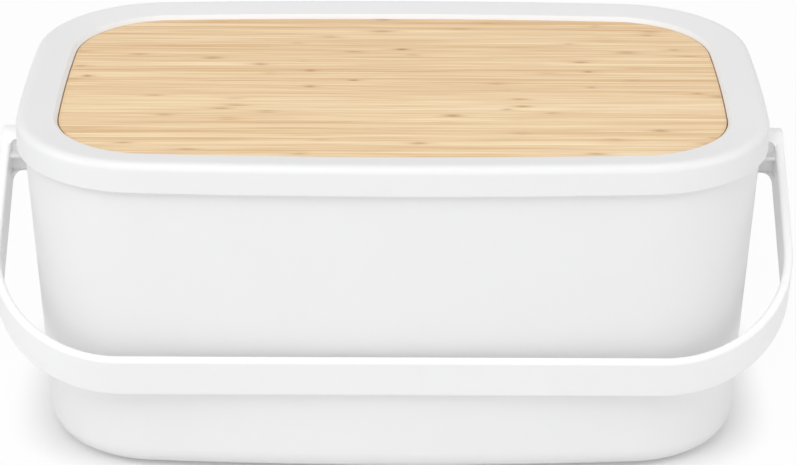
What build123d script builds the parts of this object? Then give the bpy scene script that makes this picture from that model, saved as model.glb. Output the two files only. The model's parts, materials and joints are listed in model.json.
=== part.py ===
from build123d import *
from dataclasses import dataclass
from math import cos, radians, sin, sqrt
import os

# Bread box: a white moulded tub, a lift-off lid that carries a bamboo cutting board, and a bail handle
# that swings on two side pins. Lengths are in millimetres, +Z is up, -Y is the front, and the origin is
# on the table under the middle of the tub.

# Lid
lid_long = 392.0
lid_deep = 234.0
rim_top = 179.0
long_side_bow = 2500.0
short_side_bow = 1300.0
lid_corner = 68.0
lid_sheet = 2.5
skirt_high = 16.0
rim_round = 4.0
rim_crown = 1.0
rim_dish = 2.4
rim_wide_ends = 21.2
rim_wide_sides = 20.1
recess_corner = 51.0
lip_slant = 1.95
tray_round = 1.5
rib_thick = 1.6
rib_reach = 2.0

# Cutting board and the soft pads under it
board_thick = 12.0
board_set_down = 4.1
board_gap = 0.5
board_round = 0.5
pad_radius = 7.0
pad_high = 1.0
pad_place_shares = (0.74, 0.62)

# Seal between the lid and the tub's rim
seal_high = 2.5
seal_wide = 4.5
seal_edge = 0.4
seal_clear = 0.3

# Tub
tub_wall = 2.6
tub_floor = 3.2
tub_taper_ends = 8.8
tub_taper_sides = 2.4
tub_foot_corner = 59.5
tub_foot_long_bow = 1800.0
tub_foot_short_bow = 3200.0
lid_clear = 0.8
foot_round = 11.0
inside_round = 8.0

# Soft foot ring pressed into a groove under the tub
ring_inset = 13.0
ring_wide = 6.0
ring_high = 2.4
ring_proud = 1.0
ring_clear = 0.1
ring_round = 0.4

# Handle: a flat band bent into a U, in a plane that slopes down to the front at rest
pivot_drop = 25.6
handle_slope = 32.5
band_lean = 16.2
band_wide = 24.6
band_thick = 4.8
band_round = 1.7
arm_clear = 8.9
rest_gap = 0.5
bend_inside = 66.0

# Handle hubs and the pins that they turn on
hub_lip = 0.35
hub_roof = 3.4
hub_floor = 2.0
hub_round = 6.0
pocket_round = 3.0
web_thick = 1.7
web_set_back = 0.6
hub_side_clear = 0.4
hub_edge_round = 1.0
pin_radius = 3.0
pin_clear = 0.05
pin_depth = 7.0
sleeve_wall = 2.0
boss_wall = 7.0
boss_proud = 0.7
boss_floor = 2.0
head_lip = 3.4
head_thick = 1.6
head_clear = 0.2
head_round = 0.6

# How far every cut runs past the faces that it opens
overrun = 1.0

# Heights that follow from the sizes above
skirt_foot = rim_top - skirt_high
lid_under = rim_top - lid_sheet
lip_high = rim_top - rim_dish
tub_top = lid_under - seal_high
tub_foot = ring_proud
board_top = rim_top - board_set_down
board_foot = board_top - board_thick
tray_top = board_foot - pad_high
tray_foot = tray_top - lid_sheet
pivot_high = skirt_foot - pivot_drop


@dataclass(frozen=True)
class Plan:
    """A rounded rectangle seen from above, with bowed sides: eight arcs, each tangent to the next."""

    half_long: float
    half_deep: float
    corner: float
    long_bow: float = long_side_bow
    short_bow: float = short_side_bow

    def inset(self, by):
        """The same plan drawn in by a distance all round, or let out when the distance is negative."""
        return Plan(
            self.half_long - by,
            self.half_deep - by,
            self.corner - by,
            self.long_bow - by,
            self.short_bow - by,
        )

    def face(self, height):
        """The plan as a flat face at a height."""
        long_centre = Vector(0, self.half_deep - self.long_bow)
        short_centre = Vector(self.half_long - self.short_bow, 0)
        apart = short_centre - long_centre
        to_long = self.long_bow - self.corner
        to_short = self.short_bow - self.corner
        along = (to_long**2 - to_short**2 + apart.length**2) / (2 * apart.length)
        across = sqrt(to_long**2 - along**2)
        ahead = apart.normalized()
        aside = Vector(ahead.Y, -ahead.X)
        corner_centre = long_centre + ahead * along + aside * across
        long_ray = (corner_centre - long_centre).normalized()
        short_ray = (corner_centre - short_centre).normalized()
        long_end = corner_centre + long_ray * self.corner
        short_end = corner_centre + short_ray * self.corner
        corner_middle = corner_centre + (long_ray + short_ray).normalized() * self.corner
        flip = lambda point, x, y: (point.X * x, point.Y * y)
        arcs = []
        for side in (1, -1):
            long_middle = (0, side * self.half_deep)
            short_middle = (side * self.half_long, 0)
            arcs.append(ThreePointArc(flip(long_end, 1, side), long_middle, flip(long_end, -1, side)))
            arcs.append(ThreePointArc(flip(short_end, side, 1), short_middle, flip(short_end, side, -1)))
            for end in (1, -1):
                start = flip(short_end, side, end)
                arcs.append(ThreePointArc(start, flip(corner_middle, side, end), flip(long_end, side, end)))
        return Pos(0, 0, height) * make_face(arcs)


lid_plan = Plan(lid_long / 2, lid_deep / 2, lid_corner)
recess_plan = Plan(lid_long / 2 - rim_wide_ends, lid_deep / 2 - rim_wide_sides, recess_corner)
tub_top_plan = lid_plan.inset(lid_sheet + lid_clear)
tub_foot_plan = Plan(
    tub_top_plan.half_long - tub_taper_ends,
    tub_top_plan.half_deep - tub_taper_sides,
    tub_foot_corner,
    tub_foot_long_bow,
    tub_foot_short_bow,
)


def tub_plan(height):
    """The tub's outside plan at a height, between its foot and its rim."""
    share = (height - tub_foot) / (tub_top - tub_foot)
    between = lambda low, high: low + (high - low) * share
    return Plan(
        between(tub_foot_plan.half_long, tub_top_plan.half_long),
        between(tub_foot_plan.half_deep, tub_top_plan.half_deep),
        between(tub_foot_plan.corner, tub_top_plan.corner),
        between(tub_foot_plan.long_bow, tub_top_plan.long_bow),
        between(tub_foot_plan.short_bow, tub_top_plan.short_bow),
    )


# The hubs and what they turn on, outwards from the pins
slope_angle = radians(handle_slope)
lean_angle = radians(band_lean)
hub_radius = band_wide / 2 * cos(slope_angle - lean_angle) + hub_lip
sleeve_radius = pin_radius + sleeve_wall
boss_radius = pin_radius + boss_wall
head_radius = pin_radius + head_lip

# Where the handle and its pins sit along X
boss_face = tub_plan(pivot_high).half_long + boss_proud
hub_face = boss_face + hub_side_clear
arm_inside = lid_plan.half_long + arm_clear
arm_outside = arm_inside + band_thick
pin_end = boss_face - pin_depth
boss_end = pin_end - boss_floor

# How far the grip lies from the pins' axis, so that at rest its lower edge stops just short of the tub
edge_high = pivot_high - band_wide / 2 * cos(lean_angle)
edge_out = band_wide / 2 * sin(lean_angle)
wall_slope = (tub_top_plan.half_deep - tub_foot_plan.half_deep) / (tub_top - tub_foot)
wall_out = tub_plan(edge_high).half_deep + rest_gap
reach = (wall_out + edge_out) / (cos(slope_angle) + wall_slope * sin(slope_angle))


def prism(plan, low, high):
    """A straight block on a plan, from one height to another."""
    return extrude(plan.face(low), high - low)


def ring(outer_plan, inner_plan, low, high):
    """A straight-walled ring between two plans."""
    return prism(outer_plan, low, high) - prism(inner_plan, low - overrun, high + overrun)


def funnel(low_plan, low, high_plan, high):
    """A block with straight sloping walls from one plan to another."""
    return loft([low_plan.face(low), high_plan.face(high)], ruled=True)


def rod(side, start, end, radius):
    """A cylinder along X on the handle's axis, from one X to another on the named side."""
    middle = side * (start + end) / 2
    return Pos(middle, 0, pivot_high) * Rot(0, 90, 0) * Cylinder(radius, abs(end - start))


def edges_at(shape, height):
    """The edges that lie flat at a height."""
    return shape.edges().filter_by_position(Axis.Z, height, height)


def tub_shell():
    """The tapered tub with rounded foot, groove for the foot ring and a blind boss for each pin."""
    outside = funnel(tub_foot_plan, tub_foot, tub_top_plan, tub_top)
    outside = fillet(edges_at(outside, tub_foot), foot_round)
    inside_foot = tub_foot + tub_floor
    inside_top = tub_top + overrun
    inside_low = tub_plan(inside_foot).inset(tub_wall)
    inside_high = tub_plan(inside_top).inset(tub_wall)
    inside = funnel(inside_low, inside_foot, inside_high, inside_top)
    inside = fillet(edges_at(inside, inside_foot), inside_round)
    shell = outside - inside
    for side in (1, -1):
        shell += rod(side, boss_end, boss_face, boss_radius)
        shell -= rod(side, pin_end, boss_face + overrun, pin_radius)
    groove_plan = tub_foot_plan.inset(ring_inset - ring_clear)
    groove_core = tub_foot_plan.inset(ring_inset + ring_wide + ring_clear)
    return shell - ring(groove_plan, groove_core, tub_foot - overrun, ring_high)


def foot_ring():
    """The soft ring that the tub stands on."""
    outer = tub_foot_plan.inset(ring_inset)
    body = ring(outer, outer.inset(ring_wide), 0, ring_high)
    return fillet(edges_at(body, 0), ring_round)


def lid_frame():
    """The lid: dished rim, slanted lip, skirt, tray for the board, and a rib that keeps the seal in place."""
    rib_plan = tub_top_plan.inset(seal_edge + seal_wide + seal_clear)
    body = prism(lid_plan, skirt_foot, rim_top)
    body = fillet(edges_at(body, rim_top), rim_round)
    body -= prism(lid_plan.inset(lid_sheet), skirt_foot - overrun, lid_under)
    body += funnel(recess_plan, lid_under - rim_dish, rib_plan, lid_under)
    tray = prism(recess_plan.inset(-lid_sheet), tray_foot, lid_under)
    body += fillet(edges_at(tray, tray_foot), tray_round)
    body += ring(rib_plan, rib_plan.inset(rib_thick), tub_top - rib_reach, lid_under)
    body -= funnel(recess_plan, lip_high, lid_plan.inset(rim_round + rim_crown), rim_top)
    body -= prism(recess_plan, tray_top, lip_high)
    return chamfer(edges_at(body, lip_high), lip_slant)


def lid_seal():
    """The soft ring between the lid's underside and the tub's rim."""
    outer = tub_top_plan.inset(seal_edge)
    return ring(outer, outer.inset(seal_wide), tub_top, lid_under)


def cutting_board():
    """The bamboo board, loose in the lid's tray."""
    body = prism(recess_plan.inset(board_gap), board_foot, board_top)
    return fillet(edges_at(body, board_top) + edges_at(body, board_foot), board_round)


def board_pad(side, end):
    """One of the soft discs in the tray that the board lies on."""
    x = side * recess_plan.half_long * pad_place_shares[0]
    y = end * recess_plan.half_deep * pad_place_shares[1]
    return Pos(x, y, tray_top + pad_high / 2) * Cylinder(pad_radius, pad_high)


def handle_plane():
    """The plane through the pins' axis that the handle lies in at rest: X across, Y towards the grip."""
    normal = (0, sin(slope_angle), -cos(slope_angle))
    return Plane(origin=(0, 0, pivot_high), x_dir=(1, 0, 0), z_dir=normal)


def band_block(outline, wide):
    """A flat outline on the handle's plane, drawn out evenly to both sides along the band's lean."""
    upward = Vector(0, -sin(lean_angle), cos(lean_angle))
    flat = handle_plane() * outline
    return extrude(flat.moved(Location(upward * (-wide / 2))), amount=wide, dir=upward)


def handle_band():
    """The U-shaped band without its hubs."""

    def u_shape(half_wide, far, bend):
        straight = far - bend
        corner = bend * sqrt(1 / 2)
        middle = (half_wide - bend + corner, straight + corner)
        right = ThreePointArc((half_wide, straight), middle, (half_wide - bend, far))
        left = ThreePointArc((bend - half_wide, far), (-middle[0], middle[1]), (-half_wide, straight))
        legs = [Line((half_wide, 0), (half_wide, straight)), Line((-half_wide, straight), (-half_wide, 0))]
        across = Line((half_wide - bend, far), (bend - half_wide, far))
        return make_face([legs[0], right, across, left, legs[1], Line((-half_wide, 0), (half_wide, 0))])

    outside = u_shape(arm_outside, reach + band_thick, bend_inside + band_thick)
    band = band_block(outside - u_shape(arm_inside, reach, bend_inside), band_wide)
    plane = handle_plane()
    ends = [face for face in band.faces() if abs(plane.to_local_coords(face.center()).Y) < band_round]
    end_edges = [edge for face in ends for edge in face.edges()]
    return fillet([edge for edge in band.edges() if edge not in end_edges], band_round)


def hub_arch(side):
    """The hollow round that leads from the arm's inner face into the hub."""
    outer_radius = hub_radius + hub_round
    start = arm_inside - hub_round
    block = rod(side, start, arm_inside, outer_radius)
    hollow = Pos(side * start, 0, pivot_high) * Rot(0, 90, 0) * Torus(outer_radius, hub_round)
    middle = ((start + arm_inside) / 2 * side, outer_radius / 2)
    strip = band_block(Pos(*middle) * Rectangle(hub_round, outer_radius), band_wide - 2 * band_round)
    return (block - hollow) & strip


def hub_pocket(side):
    """The hollow in front of the bearing sleeve, open to the front and to the tub."""
    roof = hub_radius - hub_roof
    floor = hub_floor - hub_radius
    deep = hub_radius - sleeve_radius + hub_round
    middle = (side * (hub_face + arm_inside) / 2, -sleeve_radius - deep / 2, pivot_high + (roof + floor) / 2)
    block = Pos(*middle) * Box(arm_inside - hub_face, deep, roof - floor)
    roof_edges = block.edges().filter_by(Axis.Y).group_by(Axis.Z)[-1].sort_by(Axis.X)
    return fillet(roof_edges[-1 if side > 0 else 0], pocket_round)


def hub_web(side):
    """The flat web that crosses the pocket at the height of the pins."""
    middle = (side * (hub_face + arm_inside) / 2, -hub_radius / 2, pivot_high)
    strip = Pos(*middle) * Box(arm_inside - hub_face, hub_radius, web_thick)
    return strip & rod(side, hub_face, arm_inside, hub_radius - web_set_back)


def handle():
    """The bail: the band, a disc and a hub at each end, and in each hub a pocket and a bearing sleeve."""
    body = handle_band()
    for side in (1, -1):
        disc = rod(side, arm_inside, arm_outside, hub_radius)
        outer_rim = disc.edges().filter_by(GeomType.CIRCLE).sort_by(Axis.X)[-1 if side > 0 else 0]
        hub = rod(side, hub_face, arm_inside, hub_radius) + hub_arch(side)
        body += fillet(outer_rim, hub_edge_round)
        body += hub - hub_pocket(side) + hub_web(side) + rod(side, hub_face, arm_inside, sleeve_radius)
        body -= rod(side, hub_face - overrun, arm_outside + overrun, pin_radius + pin_clear)
        head_room = arm_outside - head_thick - head_clear
        body -= rod(side, head_room, arm_outside + overrun, head_radius + head_clear)
    return body


def pivot_pin(side):
    """A headed pin, pressed into the tub's boss and running free in the handle."""
    head = rod(side, arm_outside - head_thick, arm_outside, head_radius)
    rim = head.edges().filter_by(GeomType.CIRCLE).sort_by(Axis.X)[-1 if side > 0 else 0]
    return fillet(rim, head_round) + rod(side, pin_end, arm_outside - head_thick, pin_radius)


sides = {"right": 1, "left": -1}
ends = {"front": -1, "back": 1}

pieces = {
    "tub_shell": tub_shell(),
    "foot_ring": foot_ring(),
    "lid_frame": lid_frame(),
    "lid_seal": lid_seal(),
    "cutting_board": cutting_board(),
    "handle": handle(),
}
for side_name, side in sides.items():
    pieces[f"pivot_pin_{side_name}"] = pivot_pin(side)
    for end_name, end in ends.items():
        pieces[f"board_pad_{end_name}_{side_name}"] = board_pad(side, end)

os.makedirs("parts", exist_ok=True)
for name, shape in pieces.items():
    export_step(shape, f"parts/{name}.step")
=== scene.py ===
import json
from math import cos, pi, radians, sin

import bpy
import numpy as np
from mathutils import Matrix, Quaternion, Vector


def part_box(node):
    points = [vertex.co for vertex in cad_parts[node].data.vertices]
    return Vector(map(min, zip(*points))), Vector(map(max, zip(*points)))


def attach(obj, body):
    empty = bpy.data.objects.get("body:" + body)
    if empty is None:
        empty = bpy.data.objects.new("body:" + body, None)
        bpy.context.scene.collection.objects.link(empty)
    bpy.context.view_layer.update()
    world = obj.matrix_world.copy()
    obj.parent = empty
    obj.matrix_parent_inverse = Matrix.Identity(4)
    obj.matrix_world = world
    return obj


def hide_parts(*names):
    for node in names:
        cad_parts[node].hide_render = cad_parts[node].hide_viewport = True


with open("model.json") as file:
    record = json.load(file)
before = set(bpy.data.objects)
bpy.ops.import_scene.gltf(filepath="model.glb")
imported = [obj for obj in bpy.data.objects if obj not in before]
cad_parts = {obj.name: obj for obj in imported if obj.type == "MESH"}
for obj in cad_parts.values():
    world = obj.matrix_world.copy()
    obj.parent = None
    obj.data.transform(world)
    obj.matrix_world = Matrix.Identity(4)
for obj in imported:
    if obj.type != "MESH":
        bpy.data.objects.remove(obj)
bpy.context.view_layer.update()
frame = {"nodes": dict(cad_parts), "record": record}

# Bread box: the tub, the lid with its board, the soft parts and the pins are surfaces worked out below and
# stand where the frame's nodes are. The handle is the frame's own. Lengths are in metres.

# Camera, fitted to the outlines of the lid, board and foot
picture_wide = 796
focal_pixels = 2748.5
sensor_wide = 36.0
view_turn = radians(-0.082)
view_height = radians(25.768)
view_roll = radians(0.25)
view_distance = 1.5057
view_target = Vector((0.00304, 0.0, 0.08727))

# Outlines seen from above: half length and half depth, corner radius, radii of the long and short sides
lid_half = np.array([0.196, 0.117])
lid_corner = 0.068
lid_bows = (2.5, 1.3)
rim_wide = np.array([0.0212, 0.0201])
recess_corner = 0.051
tub_taper = np.array([0.0088, 0.0024])
tub_foot_corner = 0.0595
tub_foot_bows = (1.8, 3.2)

# Grids: steps on an end's half bow, a corner and a long side's half bow, rows of a flat middle, and how far
# from an arc its neighbours stand on small pieces
outline_steps = (10, 28, 16)
middle_shares = (0.96, 0.6, 0.25)
small_keep = 0.0002

# Lid
lid_sheet = 0.0025
lid_clear = 0.0008
skirt_high = 0.016
rim_round = 0.004
rim_crown = 0.001
rim_dish = 0.0024
lip_slant = 0.00195
lip_round = 0.0004
edge_round = 0.0007
tray_round = 0.0015
rib_inset = 0.0085
rib_thick = 0.0016
rib_reach = 0.0020
dish_at_rib = 0.1
dish_at_tray = 0.7

# Tub
tub_wall = 0.0026
tub_floor = 0.0032
foot_round = 0.011
inside_round = 0.008
groove_inset = 0.0129
groove_wide = 0.0062

# Board, soft parts and pins
board_gap = 0.0005
board_round = 0.0005
edge_deep = 0.0022
edge_name = "near_edge"
ring_inset = 0.013
ring_wide = 0.006
ring_round = 0.0006
seal_inset = 0.0004
seal_wide = 0.0045
seal_round = 0.0009
pad_round = 0.0004
boss_radius = 0.010
boss_round = 0.0004
boss_proud = 0.0007
boss_floor = 0.0020
pin_radius = 0.003
head_radius = 0.0064
head_thick = 0.0016
head_round = 0.0006
dimple_radius = 0.0022
dimple_deep = 0.0005

# Heights, from the frame
rim_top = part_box("lid_frame")[1][2]
tray_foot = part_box("lid_frame")[0][2]
tub_foot, tub_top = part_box("tub_shell")[0][2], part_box("tub_shell")[1][2]
board_foot, board_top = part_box("cutting_board")[0][2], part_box("cutting_board")[1][2]
ring_foot, ring_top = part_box("foot_ring")[0][2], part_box("foot_ring")[1][2]
pivot_high = frame["record"]["behaviour"]["joints"][0]["pos_m"][2]
lip_high = rim_top - rim_dish
lid_under = rim_top - lid_sheet
skirt_foot = rim_top - skirt_high
tray_top = tray_foot + lid_sheet


class Outline:
    """A rounded rectangle seen from above with bowed sides, as points round it and the way each one faces.

    Eight arcs, each tangent to the next. The quarter from +X to +Y is half of an end's bow, a corner and
    half of a long side's bow, in equal steps of angle on each: the corner's centre lies a corner radius
    inside both bows. The other quarters mirror the first, so the same point number lies on the same arc of
    every outline."""

    def __init__(self, half, corner, bows):
        to_long, to_short = bows[0] - corner, bows[1] - corner
        long_centre = np.array([0, half[1] - bows[0]])
        short_centre = np.array([half[0] - bows[1], 0])
        apart = short_centre - long_centre
        far = np.hypot(*apart)
        along = (to_long**2 - to_short**2 + far**2) / (2 * far)
        across = np.sqrt(to_long**2 - along**2)
        corner_centre = long_centre + (along * apart + across * apart[::-1] * (1, -1)) / far
        reaches = (corner_centre - short_centre, corner_centre - long_centre)
        turns = [0, *(np.arctan2(reach[1], reach[0]) for reach in reaches), pi / 2]
        centres = (short_centre, corner_centre, long_centre)
        radii = (bows[1], corner, bows[0])
        points, facing = [], []
        for centre, radius, start, end, steps in zip(centres, radii, turns, turns[1:], outline_steps):
            angle = np.linspace(start, end, steps, endpoint=False)
            facing.append(np.stack([np.cos(angle), np.sin(angle)], 1))
            points.append(centre + radius * facing[-1])
        self.points = self.whole(np.vstack(points + [[[0, half[1]]]]))
        self.facing = self.whole(np.vstack(facing + [[[0, 1]]]))

    @staticmethod
    def whole(quarter):
        """The whole ring from its first quarter: mirrored left to right, and the half turned about."""
        half = np.vstack([quarter[:-1], (quarter * (-1, 1))[:0:-1]])
        return np.vstack([half, -half])

    def at(self, height):
        """The points and the ways they face at some heights: the same at all of them."""
        return self.points[None], self.facing[None]


class Taper:
    """A wall that leans from one outline at the foot to another at the top, in straight lines."""

    def __init__(self, low_outline, low, high_outline, high):
        self.outlines = (low_outline, high_outline)
        self.heights = (low, high)

    def at(self, height):
        """The points and the ways they face at some heights: a share of the way from foot to top."""
        low, high = self.heights
        share = ((height - low) / (high - low))[:, None, None]
        foot, top = self.outlines
        facing = foot.facing + (top.facing - foot.facing) * share
        facing = facing / np.linalg.norm(facing, axis=2, keepdims=True)
        return foot.points + (top.points - foot.points) * share, facing


def rounded(corners, closed=False, steps=6, keep=0.0005):
    """A profile through corners (across, height, radius).

    Each corner becomes an arc that touches both its sides. A point stands a short way before and after each
    arc, so that the flat stretch beside it is shaded flat."""
    spots = np.array([corner[:2] for corner in corners], float)
    share = np.linspace(0, 1, steps + 1)[:, None]
    profile = []
    for number, (spot, (_, _, radius)) in enumerate(zip(spots, corners)):
        if radius == 0 or not closed and number in (0, len(spots) - 1):
            profile.append(spot[None])
            continue
        sides = [spots[number - 1] - spot, spots[(number + 1) % len(spots)] - spot]
        lengths = [np.hypot(*side) for side in sides]
        before, after = sides[0] / lengths[0], sides[1] / lengths[1]
        half = np.arccos(before @ after) / 2
        reach = radius / np.tan(half)
        middle = (before + after) / np.linalg.norm(before + after) * radius / np.sin(half)
        turn = pi - 2 * half
        start, end = before * reach - middle, after * reach - middle
        swung = np.sin((1 - share) * turn) * start + np.sin(share * turn) * end
        arc = spot + middle + swung / np.sin(turn)
        hold = [reach + min(keep, (length - reach) / 4) for length in lengths]
        profile += [(spot + before * hold[0])[None], arc, (spot + after * hold[1])[None]]
    return np.vstack(profile)


def sweep(outline, profile):
    """Carries a profile round an outline: a profile's point (inset, height) stands in from each of the
    outline's points by its inset, against the way that the point faces."""
    inset, height = np.asarray(profile).T
    points, facing = outline.at(height)
    flat = points - inset[:, None, None] * facing
    tall = np.broadcast_to(height[:, None, None], (*flat.shape[:2], 1))
    return np.concatenate([flat, tall], axis=2)


def drawn_in(row):
    """Rows that carry a flat middle from a row towards the upright axis, by shares of its distance."""
    return np.stack([row * (share, share, 1) for share in middle_shares])


def lathe(profile, middle, axis, steps=64):
    """Turns a profile of (radius, along) points about the X or Z axis through a point."""
    radius, along = np.asarray(profile).T[:, :, None]
    angle = np.linspace(0, 2 * pi, steps, endpoint=False)
    turned = np.stack([radius * np.cos(angle), radius * np.sin(angle), along + 0 * angle], axis=2)
    return (np.roll(turned, 1, axis=2) if axis == "X" else turned) + np.asarray(middle)


def closed_skin(grid, loop=False):
    """Points and faces of a closed surface from rows of points that each run round a ring.

    With loop the last row joins the first. Otherwise each end row is closed by one point at its middle. The
    faces are turned so that the surface holds a positive volume: the sum over its triangles of the box
    product of their corners."""
    rows, columns = grid.shape[:2]
    number = np.arange(rows * columns).reshape(rows, columns)
    number = np.vstack([number, number[:1]]) if loop else number
    beside = np.roll(number, -1, axis=1)
    quads = np.stack([number[:-1], beside[:-1], beside[1:], number[1:]], axis=2).reshape(-1, 4)
    points = grid.reshape(-1, 3)
    caps = np.zeros((0, 3), int)
    if not loop:
        first = np.full(columns, rows * columns)
        low_cap = np.stack([beside[0], number[0], first], 1)
        high_cap = np.stack([number[-1], beside[-1], first + 1], 1)
        caps = np.vstack([low_cap, high_cap])
        points = np.vstack([points, grid[0].mean(0), grid[-1].mean(0)])
    triangles = np.vstack([quads[:, :3], quads[:, [0, 2, 3]], caps])
    a, b, c = points[triangles].transpose(1, 0, 2)
    turn = 1 if np.einsum("ij,ij->", a, np.cross(b, c)) > 0 else -1
    return points, quads[:, ::turn], caps[:, ::turn]


def piece(name, skins, material, slot, body, *nodes):
    """One object from closed skins: it rides on a body, stands for the named nodes and has a finish."""
    points, faces = [], []
    for skin_points, quads, caps in skins:
        before = sum(map(len, points))
        points.append(skin_points)
        faces += (quads + before).tolist() + (caps + before).tolist()
    mesh = bpy.data.meshes.new(name)
    mesh.from_pydata(np.vstack(points).tolist(), [], faces)
    mesh.shade_smooth()
    mesh.materials.append(material)
    made = bpy.data.objects.new(name, mesh)
    bpy.context.scene.collection.objects.link(made)
    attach(made, body)
    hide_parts(*nodes)
    return made


class Value:
    """A shader socket that Python's operators work on: every operation adds one Math node."""

    def __init__(self, finish, socket):
        self.finish = finish
        self.socket = socket

    def maths(self, operation, *others):
        return self.finish.node("Math", {"operation": operation}, {0: self, **dict(enumerate(others, 1))})

    def swapped(self, operation, other):
        return self.finish.node("Math", {"operation": operation}, {0: other, 1: self})

    def __add__(self, other):
        return self.maths("ADD", other)

    def __sub__(self, other):
        return self.maths("SUBTRACT", other)

    def __mul__(self, other):
        return self.maths("MULTIPLY", other)

    def __truediv__(self, other):
        return self.maths("DIVIDE", other)

    def __pow__(self, other):
        return self.maths("POWER", other)

    def __radd__(self, other):
        return self.swapped("ADD", other)

    def __rsub__(self, other):
        return self.swapped("SUBTRACT", other)

    def __rmul__(self, other):
        return self.swapped("MULTIPLY", other)

    def __rtruediv__(self, other):
        return self.swapped("DIVIDE", other)

    def floor(self):
        return self.maths("FLOOR")

    def bell(self, wide):
        """1 where the value is zero, falling off on both sides in a bell of this width."""
        return (-1.0 * (self / wide) ** 2.0).maths("EXPONENT")

    def step(self, low, high):
        """0 below one number, 1 above another, and a smooth rise between them."""
        settings = {"interpolation_type": "SMOOTHSTEP"}
        return self.finish.node("MapRange", settings, {"Value": self, "From Min": low, "From Max": high})

    def output(self, name):
        """Another output of the same node."""
        return Value(self.finish, self.socket.node.outputs[name])


class Nodes:
    """An emptied node tree, and the one way that nodes are added to it."""

    def __init__(self, tree):
        self.tree = tree
        self.tree.nodes.clear()

    def node(self, kind, settings=None, inputs=None):
        """Adds a node: its settings first, then the numbers or links of its sockets."""
        made = self.tree.nodes.new("ShaderNode" + kind)
        for name, setting in (settings or {}).items():
            setattr(made, name, setting)
        for name, given in (inputs or {}).items():
            self.put(made.inputs[name], given)
        return Value(self, made.outputs[0]) if len(made.outputs) else made

    def put(self, socket, given):
        """Links a socket to a value, or sets its number."""
        if isinstance(given, Value):
            self.tree.links.new(given.socket, socket)
        else:
            socket.default_value = given

    def seen(self):
        """1 for rays from the camera and for what is mirrored or seen through something, 0 for light."""
        path = self.node("LightPath")
        mirrored = path.maths("MAXIMUM", path.output("Is Glossy Ray"))
        return mirrored.maths("MAXIMUM", path.output("Is Transmission Ray"))


class Finish(Nodes):
    """One material's node tree, with the Principled shader already joined to its output."""

    def __init__(self, name):
        self.material = bpy.data.materials.new(name)
        self.material.use_nodes = True
        super().__init__(self.material.node_tree)
        self.shader = self.node("BsdfPrincipled")
        self.end = self.node("OutputMaterial", inputs={"Surface": self.shader})

    def set(self, **given):
        """Numbers and links of the Principled shader, by socket name with underscores for spaces."""
        for name, value in given.items():
            self.put(self.shader.socket.node.inputs[name.replace("_", " ")], value)

    def here(self):
        """Object coordinates, in metres."""
        return self.node("TexCoord").output("Object")

    def noise(self, where, scale, detail=2.0, stretch=(1, 1, 1)):
        """Noise between 0 and 1 with so many lumps to a metre, times the stretch along each axis."""
        if stretch != (1, 1, 1):
            where = self.node("Mapping", None, {"Vector": where, "Scale": stretch})
        return self.node("TexNoise", None, {"Vector": where, "Scale": scale, "Detail": detail})

    def chance(self, number):
        """A steady random number between 0 and 1 for each whole number."""
        return self.node("TexWhiteNoise", {"noise_dimensions": "1D"}, {"W": number})

    def mix(self, share, low, high):
        """A colour between two colours, each given in red, green and blue or as a value."""
        whole = [colour if isinstance(colour, Value) else (*colour, 1) for colour in (low, high)]
        return self.node("MixRGB", None, {"Fac": share, "Color1": whole[0], "Color2": whole[1]})

    def bump(self, height, strength, deep):
        """A Bump node for heights between 0 and 1 that stand for a depth in metres."""
        self.set(Normal=self.node("Bump", None, {"Strength": strength, "Distance": deep, "Height": height}))


def white_moulding(name, roughness, pale):
    """Satin white plastic: the fine grain of a spark-eroded mould, and faint flow in colour and gloss."""
    finish = Finish(name)
    where = finish.here()
    grain = finish.noise(where, 2600, 3)
    flow = finish.noise(where, 22, 2)
    tint = finish.mix(flow, (pale, pale, pale), (pale - 0.016, pale - 0.016, pale - 0.014))
    finish.set(Base_Color=tint, Roughness=roughness + (flow - 0.5) * 0.08 + (grain - 0.5) * 0.06)
    finish.bump(grain, 0.12, 0.0001)
    return finish.material


def silicone(name, pale, dark):
    """Matt soft rubber with a fine even bloom and a little dust."""
    finish = Finish(name)
    where = finish.here()
    bloom = finish.noise(where, 900, 4)
    finish.set(Base_Color=finish.mix(bloom, pale, dark), Roughness=0.6 + bloom * 0.2)
    finish.bump(bloom, 0.1, 0.0001)
    return finish.material


# Bamboo: width of a strip, distance between its nodes, and colours
strip_wide = 0.0044
node_apart = 0.15
strip_dark = (0.72, 0.445, 0.205)
strip_pale = (1.0, 0.805, 0.52)
smudge_brown = (0.66, 0.37, 0.165)
core_brown = (0.34, 0.165, 0.065)
edge_brown = (0.78, 0.46, 0.20)


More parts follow.
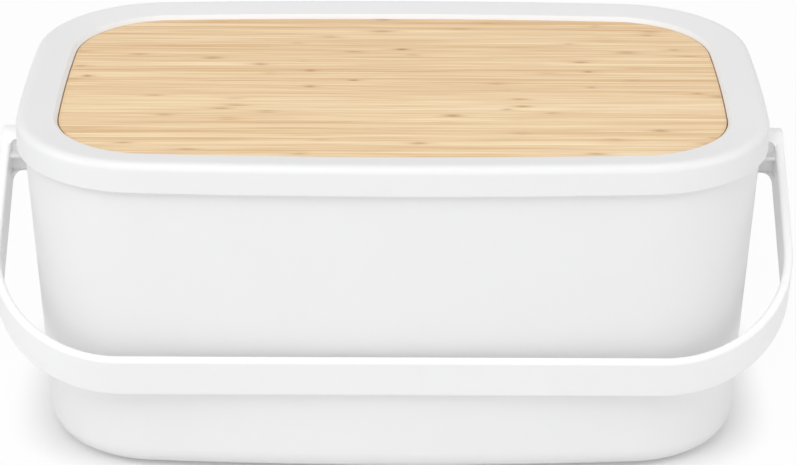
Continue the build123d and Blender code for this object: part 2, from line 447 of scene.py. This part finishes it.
def bamboo(name):
    """Bamboo strips pressed side by side along X: each has its own tone, fibres, nodes and glue line.

    A strip's number is the whole part of its place across the board. The nodes of a strip come at even
    distances along it, moved by chance from strip to strip. Each is a bell along the strip times a bell
    across it, cut into dashes by the fibres, in a wider and paler bell. The front is a little paler than
    the back, and the edge is darker."""
    finish = Finish(name)
    where = finish.here()
    split = finish.node("SeparateXYZ", None, {0: where})
    x, y, z = split, split.output("Y"), split.output("Z")

    # Strips, with fibres that start anew in each one
    wander = finish.noise(where, 1, 1, (6, 70, 0))
    across = y / strip_wide + (wander - 0.5) * 0.6
    strip = across.floor()
    inside = across - strip
    tone = finish.chance(strip)
    mood = finish.chance(strip + 31.0)
    shifted = finish.node("CombineXYZ", None, {0: x + tone * 3.7, 1: y, 2: z})
    fibre = finish.noise(shifted, 1, 3, (24, 1500, 1500)) - 0.5
    streak = finish.noise(shifted, 1, 2, (8, 560, 560)) - 0.5
    band = finish.noise(where, 1, 1, (1.5, 22, 0)) - 0.5
    seam = (inside - 0.5).maths("ABSOLUTE").step(0.34, 0.5)
    faded = finish.noise(shifted, 1, 1, (8, 0, 0)).step(0.3, 0.7)
    light = 0.5 + (tone - 0.5) * 0.36 + streak * 1.6 + fibre * 1.3 + band * 0.6 - y * 0.9
    light = light + seam * faded * (mood - 0.55) * 0.8

    # Nodes: some are strong and some hardly show
    place = x / node_apart + finish.chance(strip + 71.0)
    node = place.floor()
    fate = finish.chance(strip * 7.0 + node * 3.0 + 0.5)
    other = finish.chance(strip * 3.0 + node * 11.0 + 0.25)
    along = (place - node - 0.5) * node_apart
    strong = fate.step(0.1, 0.9)
    middle = (inside - 0.38 - other * 0.24).bell(0.42)
    dashes = (streak * 2.4 + fibre * 3.2 + 0.42).step(0.25, 0.8)
    core = along.bell(0.0022 + other * 0.0032) * middle * dashes * strong
    smudge = along.bell(0.006 + other * 0.007) * middle * (0.35 + dashes * 0.65) * strong

    # Colour, gloss and relief
    edge = finish.node("Attribute", {"attribute_name": edge_name}).output("Fac")
    tint = finish.mix(light, strip_dark, strip_pale)
    tint = finish.mix(smudge * 0.6, tint, smudge_brown)
    tint = finish.mix(core * 0.85, tint, core_brown)
    tint = finish.mix(edge * 0.35, tint, edge_brown)
    finish.set(Base_Color=tint, Roughness=0.46 + fibre * 0.3 + core * 0.15)
    finish.bump(fibre * 0.6 + streak * 0.5 - seam * 0.3 - core * 0.4 + 0.5, 0.22, 0.00012)
    return finish.material


white_tub = white_moulding("tub_plastic", 0.44, 0.85)
white_lid = white_moulding("lid_plastic", 0.40, 0.85)
# The handle and pins get a paler white than the tub and lid: painted light, standing in for the extra light
# that the open bar catches.
white_handle_painted_light = white_moulding("handle_plastic_painted_light", 0.38, 0.93)
soft_grey = silicone("soft_grey_silicone", (0.74, 0.74, 0.73), (0.66, 0.66, 0.655))

lid_outline = Outline(lid_half, lid_corner, lid_bows)
recess_outline = Outline(lid_half - rim_wide, recess_corner, lid_bows)
tub_inset = lid_sheet + lid_clear
tub_bows = [bow - tub_inset for bow in lid_bows]
tub_top_outline = Outline(lid_half - tub_inset, lid_corner - tub_inset, tub_bows)
tub_foot_outline = Outline(lid_half - tub_inset - tub_taper, tub_foot_corner, tub_foot_bows)
tub_walls = Taper(tub_foot_outline, tub_foot, tub_top_outline, tub_top)


def boss(side):
    """A blind round boss for a pin: the outer rim of its face stands a little proud of the tub's wall."""
    pin_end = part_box("pivot_pin_right")[0][0]
    wall = np.abs(tub_walls.at(np.array([pivot_high]))[0][0, :, 0]).max()
    face, end = wall + boss_proud, pin_end - boss_floor
    corners = [(boss_radius * 0.5, end, 0), (boss_radius, end, boss_round * 2),
               (boss_radius, face, boss_round), (pin_radius, face, boss_round / 2),
               (pin_radius, pin_end, 0), (pin_radius * 0.5, pin_end, 0)]
    return closed_skin(lathe(rounded(corners) * (1, side), (0, 0, pivot_high), "X"))


def tub():
    """The tub: under its floor, over the groove, round the foot, up the wall, over the rim, down inside."""
    groove_end = groove_inset + groove_wide
    inside = tub_foot + tub_floor
    groove_round = edge_round / 2
    rim_ease = tub_wall * 0.4
    corners = [(groove_end * 1.2, tub_foot, 0), (groove_end, tub_foot, groove_round),
               (groove_end, ring_top, groove_round), (groove_inset, ring_top, groove_round),
               (groove_inset, tub_foot, groove_round), (0, tub_foot, foot_round), (0, tub_top, rim_ease),
               (tub_wall, tub_top, rim_ease), (tub_wall, inside, inside_round),
               (tub_wall + inside_round * 1.5, inside, 0)]
    rows = sweep(tub_walls, rounded(corners))
    rows = np.concatenate([drawn_in(rows[0])[::-1], rows, drawn_in(rows[-1])])
    skins = [closed_skin(rows), boss(1), boss(-1)]
    return piece("tub", skins, white_tub, "white_plastic", "tub", "tub_shell")


def lid():
    """The lid: over the tray's floor, up its wall and the slanted lip, over the dished rim, down the skirt,
    along the underside past the seal's rib, and round under the tray."""
    half_round = edge_round / 2
    crest = lip_high + rim_dish * lip_slant / (rim_wide[1] - rim_round - rim_crown)
    tray = [(tray_round * 4, tray_top, 0), (0, tray_top, tray_round / 2),
            (0, lip_high - lip_slant, lip_round), (-lip_slant, crest, lip_round),
            (-lip_slant * 2, crest * 2 - lip_high, 0)]
    rib_end, rib_foot = rib_inset + rib_thick, tub_top - rib_reach
    under = lid_under - rim_dish * dish_at_rib
    shell = [(rim_round + rim_crown * 2, rim_top - rim_dish * rim_crown / rim_wide[1], 0),
             (rim_round + rim_crown, rim_top, rim_crown), (0, rim_top, rim_round),
             (0, skirt_foot, edge_round), (lid_sheet, skirt_foot, edge_round),
             (lid_sheet, lid_under, edge_round), (rib_inset, lid_under, half_round),
             (rib_inset, rib_foot, half_round), (rib_end, rib_foot, half_round),
             (rib_end, under, half_round), (rib_end + rib_thick / 2, under - half_round / 2, 0)]
    wall_top = lid_under - rim_dish * dish_at_tray
    below = [(-lid_sheet - edge_round * 2, wall_top + half_round, 0), (-lid_sheet, wall_top, half_round),
             (-lid_sheet, tray_foot, tray_round), (tray_round * 4, tray_foot, 0)]
    rows = [sweep(recess_outline, rounded(tray)), sweep(lid_outline, rounded(shell, steps=10)),
            sweep(recess_outline, rounded(below))]
    rows = [drawn_in(rows[0][0])[::-1], *rows, drawn_in(rows[-1][-1])]
    skin = closed_skin(np.concatenate(rows))
    return piece("lid", [skin], white_lid, "white_plastic", "lid", "lid_frame")


def board():
    """The bamboo board, its edges eased all round.

    The attribute falls from 1 at the edge to 0 a little way in, for the finish."""
    inner = board_gap + edge_deep
    corners = [(inner, board_foot, 0), (board_gap, board_foot, board_round),
               (board_gap, board_top, board_round), (inner, board_top, 0)]
    profile = rounded(corners)
    rows = sweep(recess_outline, profile)
    near = 1 - (profile[:, 0] - board_gap) / edge_deep
    near = np.pad(near, len(middle_shares))
    rows = np.concatenate([drawn_in(rows[0])[::-1], rows, drawn_in(rows[-1])])
    wood = bamboo("bamboo_strips")
    made = piece("board", [closed_skin(rows)], wood, "bamboo", "board", "cutting_board")
    values = np.concatenate([np.repeat(near, rows.shape[1]), [0, 0]])
    made.data.attributes.new(edge_name, "FLOAT", "POINT").data.foreach_set("value", values)
    return made


def foot_ring():
    """The soft ring that the tub stands on: a rounded band in the groove."""
    end = ring_inset + ring_wide
    corners = [(ring_inset, ring_foot, ring_round), (end, ring_foot, ring_round),
               (end, ring_top, ring_round / 2), (ring_inset, ring_top, ring_round / 2)]
    rows = sweep(tub_foot_outline, rounded(corners, closed=True, keep=small_keep))
    skin = closed_skin(rows, loop=True)
    return piece("foot_ring_soft", [skin], soft_grey, "soft_grey", "tub", "foot_ring")


def seal():
    """The seal under the lid's rim: flat above, and two rounded lips with a valley between them below."""
    end, middle = seal_inset + seal_wide, seal_inset + seal_wide / 2
    valley = tub_top + seal_round
    lip = seal_round / 2
    corners = [(seal_inset, tub_top, lip), (middle - seal_round, tub_top, lip), (middle, valley, lip),
               (middle + seal_round, tub_top, lip), (end, tub_top, lip), (end, lid_under, seal_round / 3),
               (seal_inset, lid_under, seal_round / 3)]
    rows = sweep(tub_top_outline, rounded(corners, closed=True, keep=small_keep))
    skin = closed_skin(rows, loop=True)
    return piece("seal_soft", [skin], soft_grey, "soft_grey", "lid", "lid_seal")


def pad(node):
    """A soft disc under the board, with eased edges."""
    low, high = (np.array(corner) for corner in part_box(node))
    middle, radius = (low + high) / 2, (high - low)[0] / 2
    half = (high - low)[2] / 2
    corners = [(radius * 0.5, -half, 0), (radius, -half, pad_round), (radius, half, pad_round),
               (radius * 0.5, half, 0)]
    skin = closed_skin(lathe(rounded(corners, keep=small_keep), middle, "Z"))
    return piece(node + "_soft", [skin], soft_grey, "soft_grey", "lid", node)


def pin(node, side):
    """A headed pin: a shank, a head with an eased rim, and a shallow round dimple in the head's face."""
    low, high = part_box(node)
    inner, outer = sorted((abs(low[0]), abs(high[0])))
    head_foot, dimple_floor = outer - head_thick, outer - dimple_deep
    corners = [(pin_radius * 0.5, inner, 0), (pin_radius, inner, head_round), (pin_radius, head_foot, 0),
               (head_radius, head_foot, head_round / 3), (head_radius, outer, head_round),
               (dimple_radius + dimple_deep, outer, dimple_deep / 2),
               (dimple_radius, dimple_floor, dimple_deep / 2), (dimple_radius * 0.4, dimple_floor, 0)]
    profile = rounded(corners, keep=small_keep) * (1, side)
    skin = closed_skin(lathe(profile, (0, 0, pivot_high), "X"))
    return piece(node + "_turned", [skin], white_handle_painted_light, "pin_plastic", "tub", node)


tub()
lid()
board()
foot_ring()
seal()
for name in frame["nodes"]:
    if name.startswith("board_pad"):
        pad(name)
for name, side in (("pivot_pin_right", 1), ("pivot_pin_left", -1)):
    pin(name, side)
# The handle takes the paler white, with its painted light.
handle = frame["nodes"]["handle"]
handle.data.materials.clear()
handle.data.materials.append(white_handle_painted_light)


# Stage: a white floor that keeps the shadow, and soft lamps with their place, size and power
floor_radius = 4
floor_drop = 0.0001
floor_pale = 0.8
white_near, white_far = 0.2, 0.95
shadow_ends = (0.85, 1.7)
room_light = 0.36
aim = Vector((0, 0, 0.1))
lamps = {
    "high": ((-0.35, -1.3, 2.1), 1.5, 18.8),
    "top": ((0, 0.3, 2.3), 2.0, 7.5),
    "left": ((-2.0, -0.6, 1.0), 1.5, 12),
    "right": ((2.0, -0.6, 1.0), 1.5, 10.8),
    "low": ((0, -2.2, 0.6), 1.2, 9.2),
}


def floor_finish():
    """White paper that the camera sees as plain white away from the box, and as it is lit close to it.

    How far away is the sum of the fourth powers of both distances over the foot's half sizes."""
    finish = Finish("floor_paper")
    foot_half = tub_foot_outline.points.max(0).tolist()
    split = finish.node("SeparateXYZ", None, {0: finish.here()})
    away = (split / foot_half[0]) ** 4.0 + (split.output("Y") / foot_half[1]) ** 4.0
    white_sheet = finish.node("Emission", None, {"Color": (1, 1, 1, 1), "Strength": 1.0})
    finish.set(Base_Color=(floor_pale, floor_pale, floor_pale, 1), Roughness=0.9)
    shown = finish.seen() * (white_near + away.step(*shadow_ends) * (white_far - white_near))
    mixed = finish.node("MixShader", None, {0: shown, 1: finish.shader, 2: white_sheet})
    finish.put(finish.end.inputs["Surface"], mixed)
    return finish.material


def floor():
    """A round floor, a hair below the soft ring so that the two don't lie in one plane."""
    angle = np.linspace(0, 2 * pi, 96, endpoint=False)
    rim = np.stack([floor_radius * np.cos(angle), floor_radius * np.sin(angle), 0 * angle - floor_drop], 1)
    mesh = bpy.data.meshes.new("floor")
    mesh.from_pydata(rim.tolist(), [], [list(range(len(rim)))])
    mesh.materials.append(floor_finish())
    made = bpy.data.objects.new("floor", mesh)
    bpy.context.scene.collection.objects.link(made)


def soft_lamp(name, place, size, power):
    """A square soft lamp turned to the middle of the box."""
    lamp = bpy.data.lights.new(name, "AREA")
    lamp.energy = power
    lamp.size = size
    made = bpy.data.objects.new(name, lamp)
    made.location = place
    made.rotation_euler = (aim - made.location).to_track_quat("-Z", "Y").to_euler()
    bpy.context.scene.collection.objects.link(made)


def studio():
    """An even white room: its light is weaker than what the camera and glossy surfaces see of it."""
    world = bpy.data.worlds.new("studio")
    bpy.context.scene.world = world
    world.use_nodes = True
    room = Nodes(world.node_tree)
    strength = room_light + room.seen() * (1.0 - room_light)
    background = room.node("Background", None, {"Color": (1, 1, 1, 1), "Strength": strength})
    room.node("OutputWorld", None, {"Surface": background})


def photo_camera():
    """The camera at the photograph's place, with its slight roll."""
    lens = bpy.data.cameras.new("camera")
    lens.sensor_width = sensor_wide
    lens.lens = sensor_wide * focal_pixels / picture_wide
    made = bpy.data.objects.new("camera", lens)
    back = Vector((sin(view_turn) * cos(view_height), -cos(view_turn) * cos(view_height), sin(view_height)))
    made.location = view_target + back * view_distance
    made.rotation_mode = "QUATERNION"
    made.rotation_quaternion = (-back).to_track_quat("-Z", "Y") @ Quaternion((0, 0, 1), view_roll)
    bpy.context.scene.collection.objects.link(made)
    bpy.context.scene.camera = made


floor()
for name, (place, size, power) in lamps.items():
    soft_lamp(name, place, size, power)
studio()
photo_camera()
bpy.context.scene.view_settings.view_transform = "Standard"
